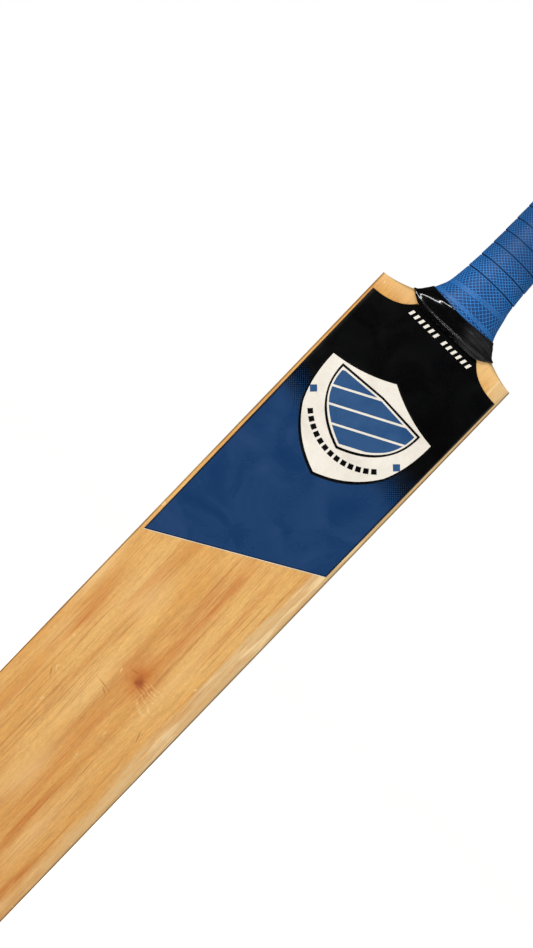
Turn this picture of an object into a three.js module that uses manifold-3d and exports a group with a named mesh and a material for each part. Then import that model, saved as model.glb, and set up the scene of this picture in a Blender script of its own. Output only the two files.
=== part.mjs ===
// Cricket bat, adult full size with a short handle.
// A one-piece willow blade holds a V-spliced handle laminated from cane strips and rubber springs.
// Twine binds the cane, a ringed rubber grip slides over it, and a tape cuff seals the grip's foot.
// A vinyl label covers the top of the playing face, with a shield-shaped label on top of it.
// Millimetres: +Z runs from toe to handle end, the playing face looks to -Y, +X is to its right.
import * as THREE from 'three';
import { mergeVertices } from 'three/addons/utils/BufferGeometryUtils.js';
import Module from 'manifold-3d';

const wasm = await Module();
wasm.setup();

// Driving dimensions
const bladeWidth = 108;
const bladeLength = 560; // toe to shoulder corners
const handleLength = 290; // shoulder corners to handle end
const handleRadius = 14.8; // bare cane above the flare
const gap = 0.3; // clearance between touching pieces

// Blade
const halfBlade = bladeWidth / 2;
const toeCornerRadius = 20;
const edgeRounding = 3.5;
const shoulderRise = 6.3; // shoulder corner up to the foot of the neck
const shoulderReach = 33.3; // half-width where the shoulder meets the neck
const faceDepth = 17.5; // handle axis forward to the face at the shoulders
const faceBow = 3; // the face dips this much between toe and shoulders
const faceCrown = 1.2; // the face falls this much from its middle to its edges
const toeEdge = 19;
const swellEdge = 31;
const shoulderEdge = 18;
const toeSpine = 27;
const swellSpine = 55;
const shoulderSpine = 36;
const swellHeight = 215;
const domeStart = 400; // the ridged back turns into a full dome over this stretch
const domeRun = 150;
const ridgeCurl = 0.6; // share of the back's ridge that curls, the rest slopes straight to the edge
const shoulderPull = { x: 9, z: 0.5 }; // bend of the shoulder curve, from its neck end and corner

// Neck: the foot of the handle flares from round cane to the width of the shoulders
const flareWidth = 15;
const flareLength = 15;
const flareDepth = 0.8;
const neckStart = bladeLength - 2; // the neck's foot is sunk this far into the blade
const handleTop = bladeLength + handleLength;
const endChamfer = 2;

// Splice: a V of cane let into the willow
const spliceTip = bladeLength - 120;
const spliceTipHalf = 1.5;
const willowTop = bladeLength + 28;
const spliceTopHalf = 16;

// Handle lamination
const stripEdge = 5.3; // side strips start here, either side of the middle strip
const beyond = 60; // half size of cutting blocks, wider than any part of the handle
const insertThickness = 1.6;
const insertSpacing = 8;

// Sleeves over the handle, as offsets from the cane
const twine = { inner: gap, outer: 0.8, low: willowTop + 14, high: handleTop - 12 };
const grip = { inner: 1.1, outer: 2.8, low: bladeLength + 8, high: handleTop - 1 };
const ringPitch = 10.5;
const firstRing = bladeLength + 40.7;
const ringGroove = 0.55;
const ringHalfWidth = 0.6;
const footMargin = 3; // the grip's plain foot stops this far below the first ring
const boreStraight = firstRing + 30; // above here the bore no longer flares
const bandBulge = 0.2;
const cuff = { inner: 3.1, outer: 3.9, tuck: 1.2, dip: 2.8 };
const cuffLow = bladeLength + 0.6;
const cuffHigh = bladeLength + 16.8;

// Vinyl labels on the face
const labelThickness = 0.3;
const sheetLow = bladeLength - 230; // the uncut vinyl sheet runs from here
const sheetHigh = bladeLength + 5;
const scoopPull = { x: 8, z: 0.5 };
const shieldPull = { footIn: 12, footUp: 8, flank: 20, headX: 20, headZ: 2 };
const label = { top: 25.3, scoop: 11.5, topHalf: 52, lowHalf: 51, left: 216.5, right: 160.4 };
const shield = { apex: 43, corner: 56, half: 43, waist: 92, waistHalf: 36, tip: 121 };

// Facets of curved faces
const bladeFacets = { across: 16, deep: 3, along: 28 };
const sheetFacets = { across: 16, deep: 1, along: 8 };
const curveFacets = { blade: 6, label: 8 };
const handleSides = 40;
const sleeveSides = 32;
const cuffSides = 48;
const handleRows = 14;
const gripFootRows = 9;
const twineRows = 10;
const cuffRows = 5;
const rowGrowth = 1.8; // rows stand close in the flare and spread up the handle

// Cutting stock
const blankOverrun = 20; // the blade blank starts this much longer at each end
const sheetInset = 1; // vinyl stops short of the blade's edges
const cutDepth = 160;

function smooth(t) {
  const s = THREE.MathUtils.clamp(t, 0, 1);
  return s * s * (3 - 2 * s);
}

// Toe value rising to the swell, then easing to the shoulder value
function alongBlade(toe, swell, shoulder, z) {
  if (z < swellHeight) return toe + (swell - toe) * smooth(z / swellHeight);
  return swell + (shoulder - swell) * smooth((z - swellHeight) / (bladeLength - swellHeight));
}

// How far an edge is rounded away at x
function rounding(x) {
  const into = Math.max(0, Math.abs(x) - (halfBlade - edgeRounding));
  return edgeRounding - Math.sqrt(Math.max(0, edgeRounding ** 2 - into ** 2));
}

function faceAt(x, z) {
  const bow = faceBow * Math.sin(Math.PI * THREE.MathUtils.clamp(z / bladeLength, 0, 1));
  return -faceDepth + bow + faceCrown * (x / halfBlade) ** 2 + rounding(x);
}

// The back rises from each edge to the spine: a scalloped ridge low down, a full dome at the neck
function backAt(x, z) {
  const across = Math.min(1, Math.abs(x) / halfBlade);
  const curl = (1 + Math.cos(Math.PI * across)) / 2;
  const ridge = ridgeCurl * curl + (1 - ridgeCurl) * (1 - across);
  const dome = Math.sqrt(1 - across ** 2);
  const fullness = smooth((z - domeStart) / domeRun);
  const height = ridge + (dome - ridge) * fullness;
  const edge = alongBlade(toeEdge, swellEdge, shoulderEdge, z);
  const spine = alongBlade(toeSpine, swellSpine, shoulderSpine, z);
  return faceAt(0, z) + edge + (spine - edge) * height - rounding(x);
}

function neckHalfWidth(z) {
  return handleRadius + flareWidth * Math.exp(-(z - bladeLength - shoulderRise) / flareLength);
}

function neckHalfDepth(z) {
  return handleRadius + flareDepth * Math.exp(-(z - bladeLength - shoulderRise) / (2 * flareLength));
}

// Moves every corner of a geometry with a function
function reshape(geometry, move) {
  const places = geometry.getAttribute('position');
  const point = new THREE.Vector3();
  for (let i = 0; i < places.count; i += 1) {
    point.fromBufferAttribute(places, i);
    move(point);
    places.setXYZ(i, point.x, point.y, point.z);
  }
  return geometry;
}

function toSolid(geometry) {
  const bare = geometry.clone();
  bare.deleteAttribute('normal');
  bare.deleteAttribute('uv');
  const merged = mergeVertices(bare, 1e-4);
  const vertProperties = new Float32Array(merged.getAttribute('position').array);
  const triVerts = new Uint32Array(merged.getIndex().array);
  return new wasm.Manifold(new wasm.Mesh({ numProp: 3, vertProperties, triVerts }));
}

function toGeometry(solid) {
  const mesh = solid.getMesh();
  const geometry = new THREE.BufferGeometry();
  geometry.setAttribute('position', new THREE.BufferAttribute(mesh.vertProperties, 3));
  geometry.setIndex(new THREE.BufferAttribute(mesh.triVerts, 1));
  return geometry;
}

// A box bent to the blade: full width, from below the toe to above the shoulders
function bladeBlank(grow) {
  const { across, deep, along } = bladeFacets;
  const geometry = new THREE.BoxGeometry(2, 2, 1, across, deep, along);
  const low = -blankOverrun;
  const high = bladeLength + blankOverrun;
  return toSolid(reshape(geometry, (p) => {
    const x = halfBlade * Math.sin(p.x * Math.PI / 2);
    const z = low + (high - low) * (p.z + 0.5);
    const front = faceAt(x, z) - grow;
    const back = backAt(x, z) + grow;
    p.set(x * (1 + grow / halfBlade), front + (back - front) * (p.y + 1) / 2, z);
  }));
}

// A thin sheet that follows the face, between two offsets in front of it
function faceSheet(near, far, low, high) {
  const { across, deep, along } = sheetFacets;
  const geometry = new THREE.BoxGeometry(2, 1, 1, across, deep, along);
  return toSolid(reshape(geometry, (p) => {
    const x = (halfBlade - sheetInset) * Math.sin(p.x * Math.PI / 2);
    const z = low + (high - low) * (p.z + 0.5);
    p.set(x, faceAt(x, z) - (p.y > 0 ? near : far), z);
  }));
}

// An outline drawn on the face plane, run right through the bat
function throughFace(shape, curveSegments) {
  const options = { depth: cutDepth, bevelEnabled: false, curveSegments };
  const geometry = new THREE.ExtrudeGeometry(shape, options);
  geometry.rotateX(Math.PI / 2);
  geometry.translate(0, cutDepth / 2, 0);
  return toSolid(geometry);
}

// Front outline of the blade: flat toe, round toe corners, concave shoulders
function bladeOutline(grow) {
  const side = halfBlade + grow;
  const r = toeCornerRadius;
  const corner = bladeLength + grow;
  const neckFoot = bladeLength + shoulderRise + grow;
  const outline = new THREE.Shape();
  outline.moveTo(-side + r, -grow);
  outline.lineTo(side - r, -grow);
  outline.absarc(side - r, r - grow, r, -Math.PI / 2, 0, false);
  outline.lineTo(side, corner);
  const pullX = shoulderReach + shoulderPull.x;
  const pullZ = corner + shoulderPull.z;
  outline.quadraticCurveTo(pullX, pullZ, shoulderReach, neckFoot);
  outline.lineTo(-shoulderReach, neckFoot);
  outline.quadraticCurveTo(-pullX, pullZ, -side, corner);
  outline.lineTo(-side, r - grow);
  outline.absarc(-side + r, r - grow, r, Math.PI, 1.5 * Math.PI, false);
  return outline;
}

function bladeBody(grow) {
  return bladeBlank(grow).intersect(throughFace(bladeOutline(grow), curveFacets.blade));
}

// Turns a profile of [offset from the cane, height] about the handle, oval where the neck flares
function aroundHandle(profile, segments, dip = 0) {
  const low = Math.min(...profile.map(([, z]) => z));
  const high = Math.max(...profile.map(([, z]) => z));
  const points = profile.map(([offset, z]) => new THREE.Vector2(Math.max(0, handleRadius + offset), z));
  const geometry = new THREE.LatheGeometry(points, segments);
  geometry.rotateX(Math.PI / 2);
  return reshape(geometry, (p) => {
    const radius = Math.hypot(p.x, p.y);
    if (radius < 1e-6) return;
    const offset = radius - handleRadius;
    const z = p.z - dip * (p.y / radius) ** 2 * (p.z - low) / (high - low);
    const across = p.x / radius * (neckHalfWidth(z) + offset);
    const deep = p.y / radius * (neckHalfDepth(z) + offset);
    p.set(across, deep, z);
  });
}

// Heights that step closely through the flare and widely up the round handle
function handleSteps(low, high, count) {
  const step = (_, i) => low + (high - low) * (i / count) ** rowGrowth;
  return Array.from({ length: count + 1 }, step);
}

function handleBlank() {
  const axis = -handleRadius;
  const sides = handleSteps(neckStart, handleTop - endChamfer, handleRows).map((z) => [0, z]);
  const end = [[-endChamfer, handleTop], [axis, handleTop]];
  return toSolid(aroundHandle([[axis, neckStart], ...sides, ...end], handleSides));
}

// Space that belongs to the cane: a V below, everything above the willow's top
function caneSpace(grow) {
  const wide = beyond;
  const above = handleTop + beyond;
  const outline = new THREE.Shape();
  outline.moveTo(-spliceTipHalf - grow, spliceTip - grow);
  outline.lineTo(spliceTipHalf + grow, spliceTip - grow);
  outline.lineTo(spliceTopHalf + grow, willowTop - grow);
  outline.lineTo(wide, willowTop - grow);
  outline.lineTo(wide, above);
  outline.lineTo(-wide, above);
  outline.lineTo(-wide, willowTop - grow);
  outline.lineTo(-spliceTopHalf - grow, willowTop - grow);
  return throughFace(outline, 1);
}

function block(xLow, xHigh, yLow, yHigh) {
  const geometry = new THREE.BoxGeometry(xHigh - xLow, yHigh - yLow, 2 * handleTop);
  geometry.translate((xLow + xHigh) / 2, (yLow + yHigh) / 2, handleTop / 2);
  return toSolid(geometry);
}

// Grip profile: plain foot, then bands parted by ring grooves, and a smooth bore
function gripProfile() {
  const foot = handleSteps(grip.low, firstRing - footMargin, gripFootRows);
  const outside = foot.map((z) => [grip.outer, z]);
  for (let z = firstRing; z < grip.high - ringPitch / 2; z += ringPitch) {
    outside.push([grip.outer, z - ringHalfWidth]);
    outside.push([grip.outer - ringGroove, z]);
    outside.push([grip.outer + bandBulge, z + ringHalfWidth]);
  }
  outside.push([grip.outer, grip.high]);
  const bore = [...foot, boreStraight, grip.high].map((z) => [grip.inner, z]).reverse();
  return [...outside, ...bore, outside[0]];
}

function twineProfile() {
  const steps = handleSteps(twine.low, twine.high, twineRows);
  const outside = steps.map((z) => [twine.outer, z]);
  const inside = steps.map((z) => [twine.inner, z]).reverse();
  return [...outside, ...inside, outside[0]];
}

function cuffSolid() {
  const rowAt = (_, i) => cuffLow + (cuffHigh - cuffLow) * i / cuffRows;
  const steps = Array.from({ length: cuffRows + 1 }, rowAt);
  const tuck = (z) => cuff.tuck * (1 - smooth((z - cuffLow) / (grip.low - cuffLow)));
  const outside = steps.map((z) => [cuff.outer - tuck(z), z]);
  const inside = steps.map((z) => [cuff.inner - tuck(z), z]).reverse();
  const ring = aroundHandle([...outside, ...inside, outside[0]], cuffSides, cuff.dip);
  return toSolid(ring).subtract(bladeBody(gap));
}

// Face label: level top, scooped shoulders, sides that draw in, slanted foot
function labelOutline() {
  const top = bladeLength;
  const outline = new THREE.Shape();
  outline.moveTo(-label.lowHalf, top - label.left);
  outline.lineTo(label.lowHalf, top - label.right);
  outline.lineTo(label.topHalf, top - label.scoop);
  const pullZ = top - label.scoop + scoopPull.z;
  outline.quadraticCurveTo(label.top + scoopPull.x, pullZ, label.top, top);
  outline.lineTo(-label.top, top);
  outline.quadraticCurveTo(-label.top - scoopPull.x, pullZ, -label.topHalf, top - label.scoop);
  return outline;
}

// Plain shield: pointed head, straight flanks, curved foot
function shieldOutline() {
  const top = bladeLength;
  const outline = new THREE.Shape();
  const footX = shield.waistHalf - shieldPull.footIn;
  const footZ = top - shield.tip + shieldPull.footUp;
  const flankZ = top - shield.corner - shieldPull.flank;
  const headZ = top - shield.corner + shieldPull.headZ;
  outline.moveTo(0, top - shield.tip);
  outline.quadraticCurveTo(footX, footZ, shield.waistHalf, top - shield.waist);
  outline.quadraticCurveTo(shield.half, flankZ, shield.half, top - shield.corner);
  outline.quadraticCurveTo(shieldPull.headX, headZ, 0, top - shield.apex);
  outline.quadraticCurveTo(-shieldPull.headX, headZ, -shield.half, top - shield.corner);
  outline.quadraticCurveTo(-shield.half, flankZ, -shield.waistHalf, top - shield.waist);
  outline.quadraticCurveTo(-footX, footZ, 0, top - shield.tip);
  return outline;
}

function vinyl(outline, layer) {
  const near = gap + layer * (gap + labelThickness);
  const sheet = faceSheet(near, near + labelThickness, sheetLow, sheetHigh);
  return sheet.intersect(throughFace(outline, curveFacets.label));
}

const willowLook = { color: 0xe2b06c, roughness: 0.45, metalness: 0 };
const caneLook = { color: 0xd8b878, roughness: 0.6, metalness: 0 };
const insertLook = { color: 0x2b2a28, roughness: 0.85, metalness: 0 };
const twineLook = { color: 0xd9cdb4, roughness: 0.9, metalness: 0 };
const gripLook = { color: 0x2b62a6, roughness: 0.55, metalness: 0 };
const tapeLook = { color: 0x0c0c0c, roughness: 0.2, metalness: 0 };
const labelLook = { color: 0x123a6e, roughness: 0.3, metalness: 0 };
const shieldLook = { color: 0xe6e3dc, roughness: 0.35, metalness: 0 };

const bat = new THREE.Group();
bat.name = 'cricket_bat';

function addPiece(name, geometry, look) {
  const piece = new THREE.Mesh(geometry, new THREE.MeshStandardMaterial(look));
  piece.name = name;
  bat.add(piece);
}

function addCane(handle) {
  const insertEdge = insertThickness / 2 + gap;
  const slabs = [
    ['front', -beyond, -insertSpacing - insertEdge],
    ['front_middle', -insertSpacing + insertEdge, -insertEdge],
    ['back_middle', insertEdge, insertSpacing - insertEdge],
    ['back', insertSpacing + insertEdge, beyond],
  ];
  const columns = [
    ['left', -beyond, -stripEdge - gap / 2],
    ['centre', -stripEdge + gap / 2, stripEdge - gap / 2],
    ['right', stripEdge + gap / 2, beyond],
  ];
  for (const [slab, yLow, yHigh] of slabs) {
    for (const [column, xLow, xHigh] of columns) {
      const strip = handle.intersect(block(xLow, xHigh, yLow, yHigh));
      addPiece(`cane_${slab}_${column}`, toGeometry(strip), caneLook);
    }
  }
}

function addInserts(handle) {
  for (const [i, place] of ['front', 'middle', 'back'].entries()) {
    const middle = (i - 1) * insertSpacing;
    const sheet = block(-beyond, beyond, middle - insertThickness / 2, middle + insertThickness / 2);
    addPiece(`rubber_insert_${place}`, toGeometry(handle.intersect(sheet)), insertLook);
  }
}

const blankBat = bladeBody(0).add(handleBlank());
const handle = blankBat.intersect(caneSpace(0));
addPiece('willow_blade', toGeometry(blankBat.subtract(caneSpace(gap))), willowLook);
addCane(handle);
addInserts(handle);
addPiece('twine_binding', aroundHandle(twineProfile(), sleeveSides), twineLook);
addPiece('rubber_grip', aroundHandle(gripProfile(), sleeveSides), gripLook);
addPiece('tape_cuff', toGeometry(cuffSolid()), tapeLook);
addPiece('face_label', toGeometry(vinyl(labelOutline(), 0)), labelLook);
addPiece('shield_label', toGeometry(vinyl(shieldOutline(), 1)), shieldLook);

// Centre the bat's depth on the row's origin
const extent = new THREE.Box3().setFromObject(bat);
bat.position.y = -(extent.min.y + extent.max.y) / 2;

export default bat;
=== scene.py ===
import math

import bmesh
import bpy
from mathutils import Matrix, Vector, noise


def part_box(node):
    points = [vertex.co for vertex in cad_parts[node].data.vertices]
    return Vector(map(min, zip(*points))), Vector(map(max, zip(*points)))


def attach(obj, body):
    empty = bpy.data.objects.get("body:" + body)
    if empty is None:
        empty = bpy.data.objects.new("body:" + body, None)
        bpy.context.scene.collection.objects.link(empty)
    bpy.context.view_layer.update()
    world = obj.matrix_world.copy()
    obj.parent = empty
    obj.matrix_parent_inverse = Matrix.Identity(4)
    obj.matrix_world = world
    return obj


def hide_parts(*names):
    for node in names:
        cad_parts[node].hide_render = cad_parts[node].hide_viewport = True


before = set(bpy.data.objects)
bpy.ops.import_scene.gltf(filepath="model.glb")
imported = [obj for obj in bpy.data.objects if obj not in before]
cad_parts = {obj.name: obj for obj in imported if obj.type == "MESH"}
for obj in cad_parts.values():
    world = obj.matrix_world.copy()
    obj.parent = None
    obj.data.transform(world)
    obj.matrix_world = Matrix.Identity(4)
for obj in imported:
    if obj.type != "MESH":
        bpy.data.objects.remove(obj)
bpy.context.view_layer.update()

mm = 0.001
print("frame loaded")

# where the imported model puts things
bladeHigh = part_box("willow_blade")[1]
labelLow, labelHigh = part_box("face_label")
shieldLow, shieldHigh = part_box("shield_label")
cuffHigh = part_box("tape_cuff")[1]
gripLow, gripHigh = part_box("rubber_grip")
twineLow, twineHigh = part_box("twine_binding")
caneLow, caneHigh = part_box("cane_front_centre")
axisY = (twineLow.y + twineHigh.y) / 2  # the handle's own axis
shoulderZ = labelHigh.z
handleTop = caneHigh.z

blank = {
    "halfWidth": bladeHigh.x,
    "around": 136,  # corners in each ring
    "toeCorner": 20 * mm,
    "edgeRound": 3.5 * mm,
    "neckRound": 8.5 * mm,
    "faceDepth": 17.5 * mm,  # handle axis to the face at the shoulders
    "faceBow": 3 * mm,
    "faceCrown": 1.2 * mm,
    "toeEdge": 19 * mm, "swellEdge": 31 * mm, "shoulderEdge": 18 * mm,
    "toeSpine": 27 * mm, "swellSpine": 55 * mm, "shoulderSpine": 36 * mm,
    "swellZ": 215 * mm,
    "crest": 0.09, "crestGive": 0.9,  # how softly the spine's crest is rounded
    "ridgeWave": 0.3, "ridgeRoof": 0.4,  # the back is part wave and part roof
    "domeStart": 400 * mm, "domeRun": 150 * mm,  # where the ridge closes into a dome
    "shoulderCurve": 1.45,
    "cornerSteps": 8, "faceSteps": 28, "shoulderSteps": 8, "neckSteps": 24,
    "neckGap": 0.5 * mm, "neckGrowth": 1.8,
    "shoulderRise": 6.3 * mm,
    "shoulderReach": 33.3 * mm,
    "handleRadius": 14.8 * mm,
    "flareWidth": 15 * mm, "flareLength": 15 * mm, "flareDepth": 0.8 * mm,
    "endRound": 1.6 * mm,
}


def clearSelection():
    if bpy.context.mode != "OBJECT":
        bpy.ops.object.mode_set(mode="OBJECT")
    bpy.ops.object.select_all(action="DESELECT")


def makeActive(piece):
    clearSelection()
    piece.select_set(True)
    bpy.context.view_layer.objects.active = piece


def startEdit(piece, kind="FACE"):
    makeActive(piece)
    bpy.ops.object.mode_set(mode="EDIT")
    bpy.ops.mesh.select_mode(type=kind)
    bpy.ops.mesh.select_all(action="DESELECT")


def endEdit():
    bpy.ops.object.mode_set(mode="OBJECT")


def closeEdit():  # faces look outwards
    bpy.ops.mesh.select_all(action="SELECT")
    bpy.ops.mesh.normals_make_consistent(inside=False)
    endEdit()


def selectWhere(piece, kind, test):  # kind is verts, edges or faces, in edit mode
    mesh = bmesh.from_edit_mesh(piece.data)
    for item in getattr(mesh, kind):
        item.select_set(bool(test(item)))
    mesh.select_flush_mode()
    bmesh.update_edit_mesh(piece.data)


def newPiece(name):
    piece = bpy.context.active_object
    piece.name = name
    piece.data.name = name
    return piece


def applyModifier(piece, kind, **settings):
    makeActive(piece)
    modifier = piece.modifiers.new(kind.lower(), kind)
    for key, value in settings.items():
        setattr(modifier, key, value)
    bpy.ops.object.modifier_apply(modifier=modifier.name)


def copyPiece(piece, name):
    makeActive(piece)
    bpy.ops.object.duplicate()
    return newPiece(name)


def removePiece(piece):
    clearSelection()
    bpy.data.objects.remove(piece, do_unlink=True)


def settle(piece):  # place goes into the mesh
    makeActive(piece)
    bpy.ops.object.transform_apply(location=True, rotation=True, scale=True)


def finishPiece(piece, node, material=None, smoothAngle=32):
    settle(piece)
    bpy.ops.object.shade_smooth_by_angle(angle=math.radians(smoothAngle))
    if material:
        piece.data.materials.clear()
        piece.data.materials.append(material)
    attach(piece, "root")
    if node:
        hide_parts(node)
    clearSelection()


def cutWith(piece, cutter, operation):
    applyModifier(piece, "BOOLEAN", operation=operation, object=cutter, solver="EXACT")
    removePiece(cutter)


# an open tube in steps: one unit of height for each row, shaped afterwards
def rolledTube(name, around, rows, caps="NOTHING"):
    clearSelection()
    bpy.ops.mesh.primitive_cylinder_add(vertices=around, radius=1, depth=rows,
                                        end_fill_type=caps, location=(0, 0, rows / 2))
    tube = newPiece(name)
    settle(tube)
    startEdit(tube)
    for row in range(1, rows):
        bpy.ops.mesh.select_all(action="SELECT")
        bpy.ops.mesh.bisect(plane_co=(0, 0, row), plane_no=(0, 0, 1))
    endEdit()
    return tube


def shapeTube(tube, pointAt):  # pointAt(turn from 0 to 1, row) gives the corner's real place
    for corner in tube.data.vertices:
        turn = math.atan2(corner.co.y, corner.co.x) / math.tau % 1
        if max(abs(corner.co.x), abs(corner.co.y)) < 1e-6:
            turn = 0
        corner.co = pointAt(turn, corner.co.z)
    tube.data.update()


def between(values, row):  # reads a list of values at a fractional row
    low = max(0, min(len(values) - 2, int(row + 1e-6)))
    share = row - low
    return values[low] * (1 - share) + values[low + 1] * share


def joinTubes(outer, inner):
    makeActive(outer)
    inner.select_set(True)
    bpy.ops.object.join()
    heights = [v.co.z for v in outer.data.vertices]
    middle = (min(heights) + max(heights)) / 2
    for isEnd in (lambda z: z > middle, lambda z: z < middle):
        startEdit(outer, "EDGE")
        selectWhere(outer, "edges", lambda e: e.is_boundary and isEnd(e.verts[0].co.z))
        bpy.ops.mesh.bridge_edge_loops()
    closeEdit()


def smoothStep(value):
    value = max(0.0, min(1.0, value))
    return value * value * (3 - 2 * value)


# from here to buildBlank: the shape that the blade and the handle share
def alongBlade(toe, swell, shoulder, z):
    if z < blank["swellZ"]:
        return toe + (swell - toe) * smoothStep(z / blank["swellZ"])
    share = (z - blank["swellZ"]) / (shoulderZ - blank["swellZ"])
    return swell + (shoulder - swell) * smoothStep(share)


def edgeFall(x, half, z):
    radius = blank["edgeRound"]
    if z > shoulderZ:  # the shoulders round over towards the neck
        narrowed = (blank["halfWidth"] - half) / (blank["halfWidth"] - blank["shoulderReach"])
        radius += blank["neckRound"] * narrowed
    into = max(0.0, abs(x) - (half - radius))
    return radius - math.sqrt(max(0.0, radius ** 2 - into ** 2))


def faceY(x, z, half=None):
    half = half or blank["halfWidth"]
    bow = blank["faceBow"] * math.sin(math.pi * max(0.0, min(1.0, z / shoulderZ)))
    crown = blank["faceCrown"] * (x / blank["halfWidth"]) ** 2
    return axisY - blank["faceDepth"] + bow + crown + edgeFall(x, half, z)


def backY(x, z, half):
    across = min(1.0, abs(x) / blank["halfWidth"])
    soft = math.sqrt(across ** 2 + blank["crest"] ** 2) - blank["crest"]
    roof = 1 - soft / (1 - blank["crest"] * blank["crestGive"])
    ridge = blank["ridgeWave"] * (1 + math.cos(math.pi * across)) + blank["ridgeRoof"] * roof
    dome = math.sqrt(max(0.0, 1 - across ** 2))
    height = ridge + (dome - ridge) * smoothStep((z - blank["domeStart"]) / blank["domeRun"])
    edge = alongBlade(blank["toeEdge"], blank["swellEdge"], blank["shoulderEdge"], z)
    spine = alongBlade(blank["toeSpine"], blank["swellSpine"], blank["shoulderSpine"], z)
    return faceY(0, z) + edge + (spine - edge) * height - edgeFall(x, half, z)


def bladeCorner(turn, z, half):  # the section starts on the right-hand edge and goes round by the back
    quarter = (turn * 4 + 0.5) % 4
    side = int(quarter)
    share = quarter - side
    if side == 0:
        y = faceY(half, z, half) + (backY(half, z, half) - faceY(half, z, half)) * share
        return Vector((half, y, z))
    if side == 2:
        y = backY(half, z, half) + (faceY(half, z, half) - backY(half, z, half)) * share
        return Vector((-half, y, z))
    x = half * math.sin(math.pi * (0.5 - share))
    if side == 1:
        return Vector((x, backY(x, z, half), z))
    return Vector((-x, faceY(x, z, half), z))


def neckSize(z):
    rise = z - shoulderZ - blank["shoulderRise"]
    width = blank["handleRadius"] + blank["flareWidth"] * math.exp(-rise / blank["flareLength"])
    depth = blank["handleRadius"] + blank["flareDepth"] * math.exp(-rise / blank["flareLength"] / 2)
    return width, depth


def neckCorner(turn, z, offset):
    width, depth = neckSize(z)
    angle = turn * math.tau
    return Vector(((width + offset) * math.cos(angle), axisY + (depth + offset) * math.sin(angle), z))


def blankRings():  # height, half-width, and whether the ring is round handle
    rings = []
    corner, wide, narrow = blank["toeCorner"], blank["halfWidth"], blank["shoulderReach"]
    steps = blank["cornerSteps"]
    for step in range(steps):
        angle = math.radians(90) * step / steps
        rings.append((corner * (1 - math.cos(angle)), wide - corner * (1 - math.sin(angle)), False))
    steps = blank["faceSteps"]
    for step in range(steps + 1):
        rings.append((corner + (shoulderZ - corner) * step / steps, wide, False))
    steps = blank["shoulderSteps"]
    for share in (step / steps for step in range(1, steps + 1)):
        height = shoulderZ + blank["shoulderRise"] * share ** blank["shoulderCurve"]
        rings.append((height, wide + (narrow - wide) * share, False))
    steps = blank["neckSteps"]
    foot = shoulderZ + blank["shoulderRise"] + blank["neckGap"]
    run = handleTop - blank["endRound"] - foot
    for step in range(steps + 1):
        rings.append((foot + run * (step / steps) ** blank["neckGrowth"], 0, True))
    rings.append((handleTop, -blank["endRound"], True))
    return rings


def buildBlank():
    rings = blankRings()

    def place(turn, row):
        z, half, isRound = rings[round(row)]
        return neckCorner(turn, z, half) if isRound else bladeCorner(turn, z, half)

    piece = rolledTube("batBlank", blank["around"], len(rings) - 1, "NGON")
    shapeTube(piece, place)
    return piece


print("shape rules ready")


def tint(code):  # a web colour as linear red, green, blue, alpha
    parts = [int(code[i:i + 2], 16) / 255 for i in (0, 2, 4)]
    return [c / 12.92 if c < 0.04045 else ((c + 0.055) / 1.055) ** 2.4 for c in parts] + [1]


making = {"tree": None}  # the node tree in hand, set by newMaterial, newGroup and buildStudio


def setInputs(node, inputs):
    for key, value in inputs.items():
        if isinstance(value, bpy.types.NodeSocket):
            making["tree"].links.new(value, node.inputs[key])
        else:
            node.inputs[key].default_value = value


def addNode(kind, inputs=None, **settings):
    node = making["tree"].nodes.new("ShaderNode" + kind)
    for key, value in settings.items():
        setattr(node, key, value)
    setInputs(node, inputs or {})
    return node


def linkUp(value, socket):
    making["tree"].links.new(value, socket)


def sums(operation, first, second=0.0, third=0.0, clamp=False):
    inputs = {0: first, 1: second}
    if operation == "MULTIPLY_ADD":
        inputs[2] = third
    node = addNode("Math", inputs, operation=operation)
    node.use_clamp = clamp
    return node.outputs[0]


def times(first, second, clamp=False):
    return sums("MULTIPLY", first, second, clamp=clamp)


def vectors(operation, first, second):
    return addNode("VectorMath", {0: first, 1: second}, operation=operation).outputs[0]


def axesOf(vector):
    return addNode("SeparateXYZ", {0: vector}).outputs


def fromAxes(x, y, z):
    return addNode("CombineXYZ", {"X": x, "Y": y, "Z": z}).outputs[0]


def spread(value, low, high, newLow=0.0, newHigh=1.0, smooth=False):
    node = addNode("MapRange", {"Value": value, "From Min": low, "From Max": high,
                                "To Min": newLow, "To Max": newHigh})
    if smooth:
        node.interpolation_type = "SMOOTHSTEP"
    return node.outputs[0]


def ease(value, low, high):  # from 0 to 1 with soft ends
    return spread(value, low, high, 0, 1, True)


def blendColours(share, first, second):
    return addNode("Mix", {0: share, 6: first, 7: second}, data_type="RGBA").outputs[2]


def paint(colour, mask, strength, code):
    return blendColours(times(mask, strength), colour, tint(code))


def noiseColour(vector, scale, detail):
    node = addNode("TexNoise", {"Vector": vector, "Scale": scale, "Detail": detail})
    return node.outputs["Color"]


def noiseAt(vector, scale, detail=2.0, roughness=0.5, distortion=0.0):
    node = addNode("TexNoise", {"Vector": vector, "Scale": scale, "Detail": detail,
                                "Roughness": roughness, "Distortion": distortion})
    return node.outputs["Fac"]


def stretch(vector, scale):
    return addNode("Mapping", {"Vector": vector, "Scale": scale}).outputs[0]


def longNoise(vector, tall, *settings):  # drawn out along the bat when tall is under 1
    return noiseAt(stretch(vector, (1, 1, tall)), *settings)


def cells(vector, scale):  # distance to the nearest point, and a random number for each cell
    outputs = addNode("TexVoronoi", {"Vector": vector, "Scale": scale}).outputs
    draw = addNode("SeparateColor", {0: outputs["Color"]}).outputs[0]
    return outputs["Distance"], draw


def wander(value, mask, reach):  # moves a coordinate to and fro
    return sums("ADD", value, times(sums("SUBTRACT", mask, 0.5), reach))


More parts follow.
